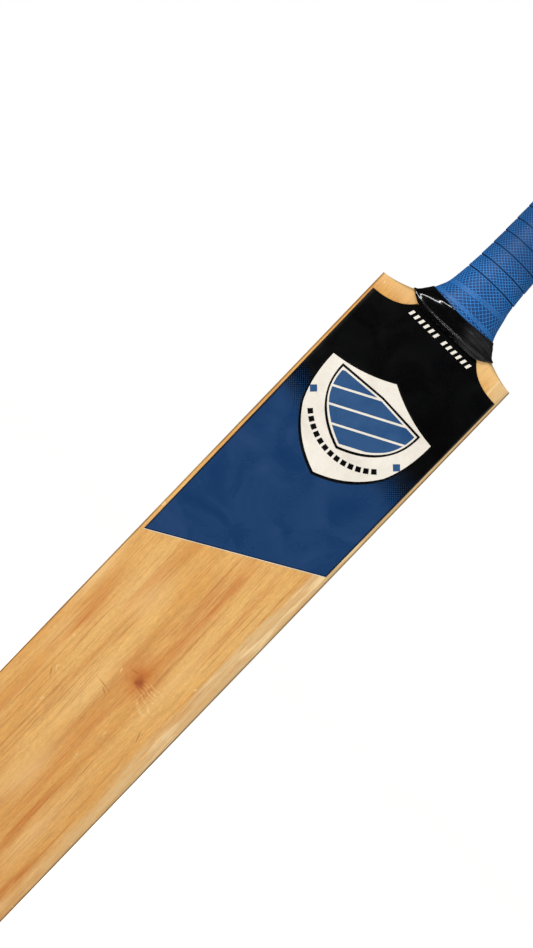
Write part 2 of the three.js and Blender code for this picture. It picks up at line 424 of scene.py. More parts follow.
def newMaterial(name, **constants):
    material = bpy.data.materials.new(name)
    material.use_nodes = True
    making["tree"] = material.node_tree
    shader = material.node_tree.nodes["Principled BSDF"]
    for key, value in constants.items():
        shader.inputs[key.replace("_", " ")].default_value = value
    return material, addNode("TexCoord").outputs["Object"]


def finished(material, colour, roughness, height, distance, strength=1.0):
    bump = addNode("Bump", {"Height": height, "Distance": distance, "Strength": strength})
    setInputs(material.node_tree.nodes["Principled BSDF"],
              {"Base Color": colour, "Roughness": roughness, "Normal": bump.outputs[0]})
    return material


def newGroup(name, ins, outs):
    tree = bpy.data.node_groups.new(name, "ShaderNodeTree")
    for label, kind, value in ins:
        socket = tree.interface.new_socket(name=label, in_out="INPUT", socket_type="NodeSocket" + kind)
        if value is not None:
            socket.default_value = value
    for label, kind in outs:
        tree.interface.new_socket(name=label, in_out="OUTPUT", socket_type="NodeSocket" + kind)
    making["tree"] = tree
    return tree, tree.nodes.new("NodeGroupInput").outputs, tree.nodes.new("NodeGroupOutput").inputs


def useGroup(group, inputs):
    return addNode("Group", inputs, node_tree=group).outputs


# straight long grain, shared by the willow and the cane
def buildGrainGroup():
    settings = [("Place", "Vector", None), ("Pale", "Color", tint("f0c98c")),
                ("Warm", "Color", tint("e2ac68")), ("Dark", "Color", tint("c07c38")),
                ("Streak Width", "Float", 12 * mm), ("Contrast", "Float", 1.0)]
    tree, ins, outs = newGroup("straightGrain", settings, [("Color", "Color"), ("Height", "Float")])
    frequency = sums("DIVIDE", 1.0, ins["Streak Width"])
    patches = longNoise(ins["Place"], 0.12, times(frequency, 0.5), 3, 0.6, 0.3)
    bands = longNoise(ins["Place"], 0.022, times(frequency, 1.6), 4, 0.62, 0.1)
    lines = longNoise(ins["Place"], 0.02, times(frequency, 8.0), 4, 0.7)
    fibre = longNoise(ins["Place"], 0.05, 1500, 3, 0.7)
    pores = longNoise(ins["Place"], 0.3, 1100, 3, 0.75)
    base = blendColours(ease(patches, 0.38, 0.62), ins["Pale"], ins["Warm"])
    shade = ease(bands, 0.5, 0.74)
    shadeShare = times(shade, times(ins["Contrast"], 0.42), clamp=True)
    toned = blendColours(shadeShare, base, ins["Dark"])
    ring = ease(lines, 0.56, 0.64)
    ringShare = times(ring, times(ins["Contrast"], 0.5), clamp=True)
    lined = blendColours(ringShare, toned, ins["Dark"])
    fine = sums("ADD", times(fibre, 0.55), times(pores, 0.45))
    node = addNode("VectorMath", {0: lined}, operation="SCALE")
    linkUp(spread(fine, 0.36, 0.64, 0.8, 1.15), node.inputs["Scale"])
    linkUp(node.outputs[0], outs["Color"])
    linkUp(sums("SUBTRACT", fine, times(ring, 0.3)), outs["Height"])
    return tree


# faint smears and specks, shared by the vinyl, the tape and the rubber
def buildHandlingGroup():
    settings = [("Place", "Vector", None), ("Smear Size", "Float", 30 * mm),
                ("Speck Size", "Float", 6 * mm)]
    marks = [("Smear", "Float"), ("Speck", "Float"), ("Scuff", "Float")]
    tree, ins, outs = newGroup("handlingMarks", settings, marks)
    smear = noiseAt(ins["Place"], sums("DIVIDE", 1.0, ins["Smear Size"]), 4, 0.6, 0.6)
    linkUp(spread(smear, 0.3, 0.7), outs["Smear"])
    distance, draw = cells(ins["Place"], sums("DIVIDE", 1.0, ins["Speck Size"]))
    speck = spread(distance, 0.015, 0.045, 1, 0)
    rare = sums("GREATER_THAN", draw, 0.86)
    linkUp(times(speck, rare, clamp=True), outs["Speck"])
    scuff = longNoise(ins["Place"], 0.15, 700, 3, 0.7)
    linkUp(ease(scuff, 0.62, 0.75), outs["Scuff"])
    return tree


grainGroup = buildGrainGroup()
handlingGroup = buildHandlingGroup()


def handled(place, smear, speck):
    return useGroup(handlingGroup, {"Place": place, "Smear Size": smear, "Speck Size": speck})


willowLook = {
    "pale": "cfa05b", "warm": "c68f47", "dark": "a35e1b", "streak": "b0601a",
    "knot": "8f3f10", "sap": "c6ab7e", "cream": "ecd2a0", "edgeShade": "3d2715", "light": "dcb67c",
    "streakWidth": 13 * mm,
    "knotX": 13 * mm, "knotZ": 273 * mm, "knotSize": 7 * mm,
    "sheenEdge": 42 * mm, "scratchHalf": 0.35 * mm,
    # the stronger streaks, in mm: middle x and z, half width and length, strength
    "streaks": [
        (13, 330, 5, 55, 0.85), (11, 215, 3.5, 60, 0.6),
        (-40, 288, 6, 26, 0.65), (-39, 205, 3, 45, 0.5),
        (21, 150, 3, 50, 0.6), (43, 118, 4, 34, 0.8),
        (-12, 120, 4, 60, 0.45), (30, 345, 2.2, 50, 0.45),
        (-24, 330, 3, 40, 0.35),
    ],
    # paler patches, in the same form
    "patches": [
        (-20, 316, 9, 20, 0.4), (-7, 250, 8, 24, 0.3),
        (-46, 262, 5, 20, 0.4), (-51, 303, 4, 26, 0.75),
        (1, 182, 7, 28, 0.55), (31, 160, 6, 32, 0.55),
        (-33, 170, 5, 26, 0.4), (29, 290, 4, 26, 0.3),
    ],
    # small scratches: x and z in mm, turn in degrees, half length in mm
    "scratches": [
        (-2.5, 257, 82, 5), (1, 254, 60, 2.5),
        (7, 276, 100, 3), (17, 269, 75, 3.5),
        (36, 248, 20, 4), (-31, 240, 35, 3),
    ],
}


def bump2d(place, x, z, wide, tall, turn=0.0):  # a soft spot on the face, 1 in the middle
    local = addNode("Mapping", {"Vector": place, "Location": (-x, 0, -z)}).outputs[0]
    local = addNode("Mapping", {"Vector": local, "Rotation": (0, math.radians(turn), 0),
                                "Scale": (1, 0, 1)}).outputs[0]
    local = stretch(local, (1 / wide, 0, 1 / tall))
    square = addNode("VectorMath", {0: local, 1: local}, operation="DOT_PRODUCT")
    return sums("EXPONENT", times(square.outputs["Value"], -1.0))


def strongest(masks):
    total = masks[0]
    for mask in masks[1:]:
        total = sums("MAXIMUM", total, mask)
    return total


def spots(place, rows):
    return strongest([times(bump2d(place, x * mm, z * mm, wide * mm, tall * mm), strength)
                      for x, z, wide, tall, strength in rows])


def willowMaterial():
    look = willowLook
    material, place = newMaterial("willow", Coat_Roughness=0.25, Specular_IOR_Level=0.4)
    axes = axesOf(place)
    knotX, knotZ, knotSize = look["knotX"], look["knotZ"], look["knotSize"]
    halo = bump2d(place, knotX, knotZ, 2.5 * knotSize, 5 * knotSize)
    offset = sums("SUBTRACT", axes["X"], knotX)
    squeezed = sums("SUBTRACT", axes["X"], times(times(offset, halo), 0.25))
    flowing = fromAxes(squeezed, axes["Y"], axes["Z"])
    grain = useGroup(grainGroup, {
        "Place": flowing, "Pale": tint(look["pale"]), "Warm": tint(look["warm"]),
        "Dark": tint(look["dark"]), "Streak Width": look["streakWidth"], "Contrast": 1.0})
    colour = grain["Color"]

    # broad stains that follow the grain
    shifted = wander(axes["X"], longNoise(place, 0.2, 60, 3), 14 * mm)
    loose = fromAxes(shifted, axes["Y"], axes["Z"])
    stains = spots(loose, look["streaks"])
    torn = longNoise(place, 0.05, 420, 3, 0.65)
    stains = times(stains, spread(torn, 0.38, 0.6, 0.3, 1.1), clamp=True)
    patches = spots(loose, look["patches"])
    ends = spread(axes["Z"], shoulderZ - 12 * mm, shoulderZ + 2 * mm, 0, 0.55, True)
    paler = sums("MAXIMUM", times(patches, spread(torn, 0.6, 0.35, 0.5, 1.0)), ends)
    colour = blendColours(paler, colour, tint(look["light"]))
    colour = blendColours(stains, colour, tint(look["streak"]))

    # painted highlight: a pale sheen strip down one edge, with paler marks in it
    sheenLine = wander(axes["X"], longNoise(place, 0.08, 120, 4, 0.65), 22 * mm)
    sap = spread(sheenLine, look["sheenEdge"], look["sheenEdge"] + 5 * mm, 0, 0.66, True)
    sap = times(sap, spread(axes["Z"], 120 * mm, 240 * mm, 0.35, 1.0))
    ragged = longNoise(place, 0.04, 700, 3, 0.7)
    sap = times(sap, spread(ragged, 0.38, 0.56, 0.45, 1.15), clamp=True)
    colour = blendColours(sap, colour, tint(look["sap"]))
    chalkySheen = times(sap, spread(longNoise(place, 0.12, 210, 3), 0.54, 0.66))
    colour = paint(colour, chalkySheen, 0.7, look["cream"])

    # the knot and the ripples beside it
    warp = vectors("SUBTRACT", noiseColour(place, 190.0, 4.0), (0.5, 0.5, 0.5))
    pushed = vectors("MULTIPLY", warp, (8 * mm, 0, 11 * mm))
    rugged = vectors("ADD", place, pushed)
    stain = bump2d(rugged, knotX - 1 * mm, knotZ + 2 * mm, 1.5 * knotSize, 1.7 * knotSize)
    core = bump2d(rugged, knotX, knotZ, 0.42 * knotSize, 0.34 * knotSize)
    colour = paint(colour, stain, 0.8, look["streak"])
    colour = paint(colour, core, 0.95, look["knot"])
    soft = vectors("MULTIPLY", noiseColour(place, 60.0, 1.0), (0, 0, 14 * mm))
    bowed = vectors("ADD", place, soft)
    waves = {"Vector": bowed, "Scale": 100.0, "Distortion": 0.8, "Detail": 1.0}
    ripple = addNode("TexWave", waves, bands_direction="Z").outputs["Fac"]
    ripple = times(ease(ripple, 0.55, 0.95),
                   spread(noiseAt(rugged, 260, 2), 0.38, 0.6))
    front = spread(axes["Y"], axisY - 8 * mm, axisY, 1.0, 0.0)
    beside = bump2d(rugged, knotX + 11 * mm, knotZ - 4 * mm, 6 * mm, 8 * mm)
    ripple = times(times(ripple, front), beside)
    colour = paint(colour, ripple, 0.6, look["cream"])
    scratch = strongest([bump2d(place, x * mm, z * mm, look["scratchHalf"], half * mm, turn)
                         for x, z, turn, half in look["scratches"]])
    scratch = times(scratch, front)
    colour = paint(colour, scratch, 0.6, look["knot"])

    # bruises and chips, then painted shade along the face's edges
    distance, draw = cells(stretch(rugged, (1, 0.2, 0.6)), 48.0)
    dent = times(spread(distance, 0.03, 0.11, 1, 0, True), spread(draw, 0.6, 0.7))
    colour = paint(colour, dent, 0.4, look["cream"])
    distance, draw = cells(stretch(rugged, (1, 0.2, 0.4)), 170.0)
    chip = times(spread(distance, 0.05, 0.14, 1, 0, True), spread(draw, 0.8, 0.86))
    colour = paint(colour, chip, 0.45, look["cream"])
    # painted shade: a thin dark line along the face's edges, patchy along the length
    side = sums("ABSOLUTE", axes["X"])
    arrisShade = ease(side, blank["halfWidth"] - 1.2 * mm, blank["halfWidth"] - 0.6 * mm)
    bow = times(sums("SINE", times(axes["Z"], math.pi / shoulderZ)), blank["faceBow"])
    behindFace = sums("SUBTRACT", axes["Y"], bow)
    frontOnly = spread(behindFace, axisY - 14.9 * mm, axisY - 13.1 * mm, 0.92, 0.0)
    patchy = spread(longNoise(place, 0.25, 60, 4, 0.6), 0.3, 0.65, 0.55, 1.0)
    arrisShade = times(times(arrisShade, frontOnly), patchy)
    colour = blendColours(arrisShade, colour, tint(look["edgeShade"]))

    height = times(grain["Height"], 0.14)
    height = sums("ADD", height, times(ripple, 0.4))
    height = sums("SUBTRACT", height, times(dent, 0.3))
    height = sums("SUBTRACT", height, times(scratch, 0.5))
    roughness = spread(grain["Height"], 0.3, 0.7, 0.5, 0.36)
    return finished(material, colour, roughness, height, 0.5 * mm, 0.55)


def caneMaterial():
    material, place = newMaterial("cane", Specular_IOR_Level=0.35)
    grain = useGroup(grainGroup, {"Place": place, "Pale": tint("ead6a4"), "Warm": tint("dcbd7e"),
                                  "Dark": tint("a9834a"), "Streak Width": 3 * mm, "Contrast": 1.3})
    axes = axesOf(place)
    flat = fromAxes(axes["X"], axes["Y"], 0.0)
    bundles = addNode("TexVoronoi", {"Vector": flat, "Scale": 1500.0}).outputs["Distance"]
    tube = ease(bundles, 0.1, 0.45)
    colour = blendColours(times(tube, 0.35), grain["Color"], tint("8c6a38"))
    roughness = spread(grain["Height"], 0.3, 0.7, 0.7, 0.5)
    return finished(material, colour, roughness, grain["Height"], 0.15 * mm)


def insertMaterial():
    material, place = newMaterial("insertRubber")
    marks = handled(place, 8 * mm, 2 * mm)
    colour = blendColours(marks["Smear"], tint("1c1b1a"), tint("31302e"))
    roughness = spread(marks["Smear"], 0, 1, 0.95, 0.75)
    return finished(material, colour, roughness, noiseAt(place, 3000, 2), 0.05 * mm)


def twineMaterial():
    material, place = newMaterial("waxedTwine", Sheen_Weight=0.2)
    turns = addNode("TexWave", {"Vector": place, "Scale": 400.0, "Distortion": 0.6},
                    bands_direction="Z").outputs["Fac"]
    fluff = noiseAt(place, 1800, 3)
    colour = blendColours(turns, tint("9d8a64"), tint("e3d6b8"))
    height = sums("ADD", turns, times(fluff, 0.3))
    return finished(material, colour, spread(fluff, 0.3, 0.7, 0.95, 0.75), height, 0.3 * mm)


def gripMaterial():
    material, place = newMaterial("gripRubber", Specular_IOR_Level=0.45)
    marks = handled(place, 14 * mm, 3 * mm)
    # painted shade in the diamond hollows, and a darker tone on the plain faces
    pit = addNode("Attribute", attribute_name="pit").outputs["Fac"]
    rubber = blendColours(marks["Smear"], tint("186bb2"), tint("227ac4"))
    rubber = blendColours(times(pit, 0.85, clamp=True), rubber, tint("07295f"))
    # painted shade in the groove floors
    groove = addNode("Attribute", attribute_name="groove").outputs["Fac"]
    rubber = blendColours(times(groove, 0.9, clamp=True), rubber, tint("04163a"))
    # painted shade: the rubber darkens higher up the grip
    height = axesOf(place)["Z"]
    upperShade = spread(height, shoulderZ + 38 * mm, shoulderZ + 70 * mm, 0, 0.55, True)
    rubber = blendColours(upperShade, rubber, tint("123f70"))
    rubber = paint(rubber, marks["Scuff"], 0.14, "6d9fd6")
    roughness = spread(marks["Smear"], 0, 1, 0.42, 0.6)
    return finished(material, rubber, roughness, noiseAt(place, 2600, 3), 0.05 * mm)


def tapeMaterial():
    material, place = newMaterial("glossTape", Coat_Weight=1.0, Coat_Roughness=0.05)
    marks = handled(place, 9 * mm, 3 * mm)
    black = blendColours(marks["Smear"], tint("030303"), tint("080808"))
    # painted sheen: the black tape turns greyer towards the right
    across = axesOf(place)["X"]
    streaky = noiseAt(stretch(place, (0.3, 0.3, 2)), 160, 3, 0.6)
    rightSheen = times(ease(across, 2 * mm, 16 * mm), spread(streaky, 0.3, 0.6))
    colour = blendColours(rightSheen, black, tint("2a2a2b"))
    roughness = spread(marks["Smear"], 0, 1, 0.1, 0.2)
    creases = longNoise(place, 5, 90, 2, 0.5, 0.4)
    return finished(material, colour, roughness, creases, 0.3 * mm, 0.3)


label = {
    "lift": 0.03 * mm, "thickness": 0.22 * mm,
    "ink": 0.09 * mm,  # each printed layer's own thickness
    "backingDrop": 0.5 * mm, "backingLift": 0.01 * mm, "backing": 0.1 * mm,
    "flatHalf": 25.3 * mm, "scoop": 11.5 * mm, "scoopPull": 8 * mm, "scoopLift": 0.5 * mm,
    "topHalf": labelHigh.x, "lowHalf": 51 * mm,
    "leftFoot": labelLow.z, "rightFoot": shoulderZ - 160.4 * mm,
}

labelLook = {
    "black": "030303", "blue": "0b3866", "deepBlue": "082f58", "rim": "031021",
    "fadeTop": shoulderZ - 71 * mm, "fadeLow": shoulderZ - 111 * mm, "fadeSlope": 0.06,
    "rimWidth": 0.9 * mm,
    "dotPitch": 1.15 * mm,
}


def labelMaterial():
    look = labelLook
    material, place = newMaterial("printedVinyl", Coat_Weight=0.35, Coat_Roughness=0.1)
    marks = handled(place, 26 * mm, 9 * mm)
    axes = axesOf(place)
    slanted = sums("MULTIPLY_ADD", axes["X"], look["fadeSlope"], axes["Z"])
    fade = spread(slanted, look["fadeTop"], look["fadeLow"], 0, 1)
    turned = addNode("Mapping", {"Vector": place, "Rotation": (0, math.radians(45), 0),
                                 "Scale": [1 / look["dotPitch"]] * 3}).outputs[0]
    cell = addNode("VectorMath", {0: turned}, operation="FRACTION").outputs[0]
    cellAxes = axesOf(cell)
    dx = sums("POWER", sums("SUBTRACT", cellAxes["X"], 0.5), 2.0)
    dz = sums("POWER", sums("SUBTRACT", cellAxes["Z"], 0.5), 2.0)
    reach = sums("SQRT", sums("ADD", dx, dz))
    dotSize = times(fade, 0.78)
    dot = spread(sums("SUBTRACT", dotSize, reach), -0.06, 0.06, 0, 1)
    blue = blendColours(marks["Smear"], tint(look["deepBlue"]), tint(look["blue"]))
    ink = blendColours(dot, tint(look["black"]), blue)
    ink = blendColours(times(marks["Speck"], 0.5), ink, tint("7a8fb0"))
    footSlope = (label["rightFoot"] - label["leftFoot"]) / (2 * label["lowHalf"])
    footMiddle = (label["rightFoot"] + label["leftFoot"]) / 2
    footZ = sums("MULTIPLY_ADD", axes["X"], footSlope, footMiddle)
    fromFoot = sums("SUBTRACT", axes["Z"], footZ)
    fromSide = sums("SUBTRACT", label["lowHalf"], sums("ABSOLUTE", axes["X"]))
    fromRim = sums("MINIMUM", fromFoot, fromSide)
    rim = spread(fromRim, 0.6 * look["rimWidth"], look["rimWidth"], 0.9, 0.0)
    ink = blendColours(times(rim, dot), ink, tint(look["rim"]))
    roughness = spread(marks["Smear"], 0, 1, 0.2, 0.36)
    return finished(material, ink, roughness, noiseAt(place, 90, 2), 0.25 * mm, 0.25)


def inkMaterial(name, dark, pale):
    material, place = newMaterial(name, Coat_Weight=0.3, Coat_Roughness=0.12)
    marks = handled(place, 20 * mm, 7 * mm)
    fine = noiseAt(place, 420, 3, 0.6)
    share = sums("ADD", times(marks["Smear"], 0.6), times(fine, 0.4))
    colour = blendColours(share, tint(dark), tint(pale))
    return finished(material, colour, spread(marks["Smear"], 0, 1, 0.24, 0.4), fine, 0.06 * mm, 0.4)


willow = willowMaterial()
cane = caneMaterial()
insertRubber = insertMaterial()
waxedTwine = twineMaterial()
gripRubber = gripMaterial()
glossTape = tapeMaterial()
printedVinyl = labelMaterial()
whiteInk = inkMaterial("whiteInk", "c9c2b6", "e2dcd1")
blackInk = inkMaterial("blackInk", "030303", "060606")
blueInk = inkMaterial("blueInk", "1b406c", "25507e")
print("finishes ready")

# the V that joins the handle to the blade
splice = {
    "tipHalf": 1.5 * mm, "tipZ": caneLow.z,
    "topHalf": 16 * mm, "topZ": shoulderZ + 28 * mm,
    "glueLine": 0.12 * mm,
    "cutHalf": 70 * mm, "cutAbove": 20 * mm, "cutDepth": 100 * mm,
    "far": 80 * mm,  # past the wood on every side
    "bevel": 1.3 * mm, "bevelAngle": 60,
}


def outlinePrism(name, outlines, yLow, yHigh):  # flat outlines in x and z, run through the depth
    flats = []
    for outline in outlines:
        clearSelection()
        bpy.ops.mesh.primitive_circle_add(vertices=len(outline), fill_type="NGON")
        flat = newPiece(name)
        for corner, (x, z) in zip(flat.data.vertices, outline):
            corner.co = (x, yLow, z)
        flats.append(flat)
    makeActive(flats[0])
    for flat in flats[1:]:
        flat.select_set(True)
    if len(flats) > 1:
        bpy.ops.object.join()
    startEdit(flats[0])
    bpy.ops.mesh.select_all(action="SELECT")
    bpy.ops.mesh.extrude_region_move(TRANSFORM_OT_translate={"value": (0, yHigh - yLow, 0)})
    closeEdit()
    return flats[0]


def spliceCutter(grow):  # a V below the willow's top, everything above it
    tip, top, wide = splice["tipHalf"] + grow, splice["topHalf"] + grow, splice["cutHalf"]
    low, high, above = splice["tipZ"] - grow, splice["topZ"] - grow, handleTop + splice["cutAbove"]
    outline = [(-tip, low), (tip, low), (top, high), (wide, high), (wide, above),
               (-wide, above), (-wide, high), (-top, high)]
    return outlinePrism("spliceCutter", [outline], -splice["cutDepth"], splice["cutDepth"])


def cellCutter(low, high):
    clearSelection()
    bpy.ops.mesh.primitive_cube_add(size=1, location=[(a + b) / 2 for a, b in zip(low, high)])
    piece = newPiece("cellCutter")
    piece.scale = [b - a for a, b in zip(low, high)]
    settle(piece)
    return piece


def buildWood():
    batBlank = buildBlank()
    blade = copyPiece(batBlank, "willowBlade")
    cutWith(blade, spliceCutter(splice["glueLine"]), "DIFFERENCE")
    applyModifier(blade, "BEVEL", width=splice["bevel"], segments=3, limit_method="ANGLE",
                  angle_limit=math.radians(splice["bevelAngle"]))
    finishPiece(blade, "willow_blade", willow)
    core = copyPiece(batBlank, "caneCore")
    removePiece(batBlank)
    cutWith(core, spliceCutter(0), "INTERSECT")
    far = splice["far"]
    for slab in ("front", "front_middle", "back_middle", "back"):
        for column in ("left", "centre", "right"):
            node = f"cane_{slab}_{column}"
            low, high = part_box(node)
            low.z, high.z = 0, 1
            low.x = -far if column == "left" else low.x
            high.x = far if column == "right" else high.x
            low.y = -far if slab == "front" else low.y
            high.y = far if slab == "back" else high.y
            name = "cane" + "".join(word.capitalize() for word in slab.split("_")) + column.capitalize()
            strip = copyPiece(core, name)
            cutWith(strip, cellCutter(low, high), "INTERSECT")
            finishPiece(strip, node, cane)
    for layer in ("front", "middle", "back"):
        node = f"rubber_insert_{layer}"
        low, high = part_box(node)
        sheet = copyPiece(core, f"rubberInsert{layer.capitalize()}")
        cutWith(sheet, cellCutter((-far, low.y, 0), (far, high.y, 1)), "INTERSECT")
        finishPiece(sheet, node, insertRubber)
    removePiece(core)


buildWood()
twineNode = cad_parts["twine_binding"]
twineNode.data.materials.clear()
twineNode.data.materials.append(waxedTwine)
print("blade, cane and inserts built")


grip = {
    "around": 42,
    "pitch": 10.5 * mm, "rowsPerBand": 4,
    "firstRing": shoulderZ + 40.4 * mm,
    "groove": 1.2 * mm, "grooveDepth": 0.7 * mm,
    "outer": 2.8 * mm, "inner": 1.1 * mm, "footOffset": 2.1 * mm,  # offsets from the cane
    "bulge": 0.24 * mm,
    "toothLow": shoulderZ + 14 * mm, "toothHigh": shoulderZ + 16.6 * mm,
    "dotsLow": shoulderZ + 18.2 * mm,
    "bandLow": shoulderZ + 27.4 * mm, "bandHigh": shoulderZ + 29.6 * mm,
    "ridge": 0.2 * mm, "wall": 0.14 * mm, "pitDepth": 0.4 * mm,
    "slant": 0.1, "slantReach": 6 * mm,  # the plain band leans
    "grooveLow": 0.3, "grooveHigh": 0.7,  # the groove's flat floor, as shares of its height
    "footRows": 3, "neckRows": 4,
    "boreFlare": 45 * mm, "boreRows": 9, "boreGrowth": 1.5,
    "plainTone": 0.5, "wallShade": 0.7, "floorShade": 1.0,  # how dark each kind of face is: a darker tone on the plain faces, painted shade on the hollows' walls and floors
    "near": 0.0001,
}


def gripRows():  # heights, offsets, and which rows carry diamonds
    heights, offsets, patterned = [gripLow.z], [grip["footOffset"]], set()

    def addRow(height, offset=grip["outer"], isPattern=False):
        if isPattern:
            patterned.add(len(heights) - 1)
        heights.append(height)
        offsets.append(offset)

    addRow((gripLow.z + grip["toothLow"]) / 2, grip["footOffset"])
    addRow(grip["toothLow"])
    addRow(grip["toothHigh"], isPattern=True)
    addRow(grip["dotsLow"])
    foot = (grip["dotsLow"], grip["bandLow"], grip["footRows"])
    neck = (grip["bandHigh"], grip["firstRing"], grip["neckRows"])
    for low, high, rows in (foot, neck):
        if heights[-1] < low:
            addRow(low)
        for step in range(1, rows + 1):
            addRow(low + (high - low) * step / rows, isPattern=True)
    ring = grip["firstRing"]
    rows = grip["rowsPerBand"]
    while ring < gripHigh.z - grip["groove"]:
        for share in (grip["grooveLow"], grip["grooveHigh"]):
            addRow(ring + share * grip["groove"], grip["outer"] - grip["grooveDepth"])
        addRow(ring + grip["groove"], grip["outer"] + grip["bulge"])
        rise = (grip["pitch"] - grip["groove"]) / rows
        if ring + grip["pitch"] < gripHigh.z:
            for step in range(1, rows + 1):
                offset = grip["outer"] + grip["bulge"] * (1 - step / rows)
                addRow(ring + grip["groove"] + step * rise, offset, True)
        ring += grip["pitch"]
    addRow(gripHigh.z)
    return heights, offsets, patterned


def buildGrip():
    heights, offsets, patterned = gripRows()
    sleeve = rolledTube("rubberGrip", grip["around"], len(heights) - 1)
    startEdit(sleeve)
    selectWhere(sleeve, "faces", lambda f: int(f.calc_center_median().z) in patterned)
    bpy.ops.mesh.poke()
    bpy.ops.mesh.select_mode(type="EDGE")

    def isOldEdge(edge):  # edges that the diamonds swallow
        if len(edge.link_faces) != 2 or any(len(f.verts) != 3 for f in edge.link_faces):
            return False
        a, b = (v.co for v in edge.verts)
        return min(abs(a.z - b.z), (a.xy - b.xy).length) < grip["near"]

    selectWhere(sleeve, "edges", isOldEdge)
    bpy.ops.mesh.dissolve_edges(use_verts=False)
    bpy.ops.mesh.select_mode(type="FACE")

    def isDiamond(face):  # a whole one spans three levels, a half one has three corners
        return len(face.verts) == 3 or len({round(v.co.z, 3) for v in face.verts}) == 3

    selectWhere(sleeve, "faces", isDiamond)
    endEdit()

    def place(turn, row):
        z = between(heights, row)
        point = neckCorner(turn, z, between(offsets, row))
        middle = (grip["bandLow"] + grip["bandHigh"]) / 2
        point.z += grip["slant"] * point.x * math.exp(-((z - middle) / grip["slantReach"]) ** 2)
        return point

    # groove floors are marked for painted shade
    groove = sleeve.data.attributes.new("groove", "FLOAT", "POINT")
    for i, corner in enumerate(sleeve.data.vertices):
        row = corner.co.z
        isBottom = abs(row - round(row)) < grip["near"] and offsets[round(row)] < grip["outer"] - 0.1 * mm
        groove.data[i].value = 1.0 if isBottom else 0.0
    shapeTube(sleeve, place)
    # a face value for the rubber's colour: a darker tone on plain faces, painted shade on the hollows'
    # walls and floors
    pit = sleeve.data.attributes.new("pit", "FLOAT", "FACE")
    for i, face in enumerate(sleeve.data.polygons):
        pit.data[i].value = 0.0 if face.select else grip["plainTone"]
    ridge = (grip["ridge"], 0, grip["wallShade"])
    hollow = (grip["wall"], -grip["pitDepth"], grip["floorShade"])
    for thickness, depth, value in (ridge, hollow):
        makeActive(sleeve)
        bpy.ops.object.mode_set(mode="EDIT")
        bpy.ops.mesh.inset(thickness=thickness, depth=depth, use_individual=True)
        endEdit()
        pit = sleeve.data.attributes["pit"]
        for i, face in enumerate(sleeve.data.polygons):
            if face.select:
                pit.data[i].value = value
    rows = grip["boreRows"]
    boreHeights = [gripLow.z + grip["boreFlare"] * (i / rows) ** grip["boreGrowth"]
                   for i in range(rows + 1)] + [gripHigh.z]
    bore = rolledTube("gripBore", grip["around"], len(boreHeights) - 1)
    shapeTube(bore, lambda turn, row: neckCorner(turn, between(boreHeights, row), grip["inner"]))
    joinTubes(sleeve, bore)
    finishPiece(sleeve, "rubber_grip", gripRubber, 25)


buildGrip()
print("grip built")


cuff = {
    "around": 144, "rows": 18, "liningRows": 8,
    "thickness": 0.7 * mm,
    "wrinkle": 0.3 * mm, "wrinkleAcross": 45, "wrinkleUp": 420,
    "lipRoll": 0.9 * mm, "lipAt": 0.12, "lipSpan": 0.1,
    "crease": 0.4 * mm, "creaseAt": 0.5, "creaseRise": 0.25, "creaseSpan": 0.07, "creaseStart": 0.4,
    "squareFront": 8, "squareBack": 4.5, "squareFade": 1.2,  # flat against the face, rounder behind
    "deepFade": 1.3, "riseCurve": 2.2, "dipCurve": 1.5,
    "lipZ": shoulderZ - 1 * mm,
    "lipDeep": 19.3 * mm, "lipBack": 20 * mm,
    "topZ": cuffHigh.z, "topDip": 2.8 * mm,
    "over": 3.6 * mm,  # offset from the cane at the top
    "reach": 33.4 * mm,
    "riseFrom": 18 * mm, "rise": 6.9 * mm,
}


def cuffPoint(turn, share, inset):
    angle = turn * math.tau
    c, s = math.cos(angle), math.sin(angle)
    square = 2 + cuff["squareFront" if s < 0 else "squareBack"] * (1 - share) ** cuff["squareFade"]
    lipDeep = cuff["lipDeep"] if s < 0 else cuff["lipBack"]
    z = shoulderZ
    for step in range(4):  # width follows height and the lip's height follows the width
        neckWidth, neckDepth = (size + cuff["over"] for size in neckSize(z))
        wide = min(cuff["reach"], neckWidth) - inset
        deep = neckDepth + (lipDeep - neckDepth) * (1 - share) ** cuff["deepFade"] - inset
        reach = ((abs(c) / wide) ** square + (abs(s) / deep) ** square) ** (-1 / square)
        x, y = reach * c, reach * s
        outwards = max(0.0, abs(x) - cuff["riseFrom"]) / (cuff["reach"] - cuff["riseFrom"])
        low = cuff["lipZ"] + cuff["rise"] * outwards ** cuff["riseCurve"]
        high = cuff["topZ"] - cuff["topDip"] * abs(s) ** cuff["dipCurve"]
        z = low + (high - low) * share
    if not inset:
        across = cuff["wrinkleAcross"]
        fold = noise.noise(Vector((x * across, y * across, z * cuff["wrinkleUp"])))
        push = cuff["wrinkle"] * fold * min(1.0, 3 * share) * min(1.0, 4 * (1 - share))
        push += cuff["lipRoll"] * math.exp(-((share - cuff["lipAt"]) / cuff["lipSpan"]) ** 2)
        if s < 0:  # a crease runs up to the right
            off = (share - cuff["creaseAt"] - cuff["creaseRise"] * c) / cuff["creaseSpan"]
            push += cuff["crease"] * math.exp(-off ** 2) * max(0.0, min(1.0, cuff["creaseStart"] + c))
        x += push * c
        y += push * s
    return Vector((x, axisY + y, z))


def buildCuff():
    rows = cuff["rows"]
    wrap = rolledTube("tapeCuff", cuff["around"], rows)
    shapeTube(wrap, lambda turn, row: cuffPoint(turn, row / rows, 0))
    inside = cuff["liningRows"]
    lining = rolledTube("cuffLining", cuff["around"], inside)
    shapeTube(lining, lambda turn, row: cuffPoint(turn, row / inside, cuff["thickness"]))
    joinTubes(wrap, lining)
    applyModifier(wrap, "SUBSURF", levels=1, render_levels=1)
    finishPiece(wrap, "tape_cuff", glossTape, 50)


buildCuff()
print("cuff built")


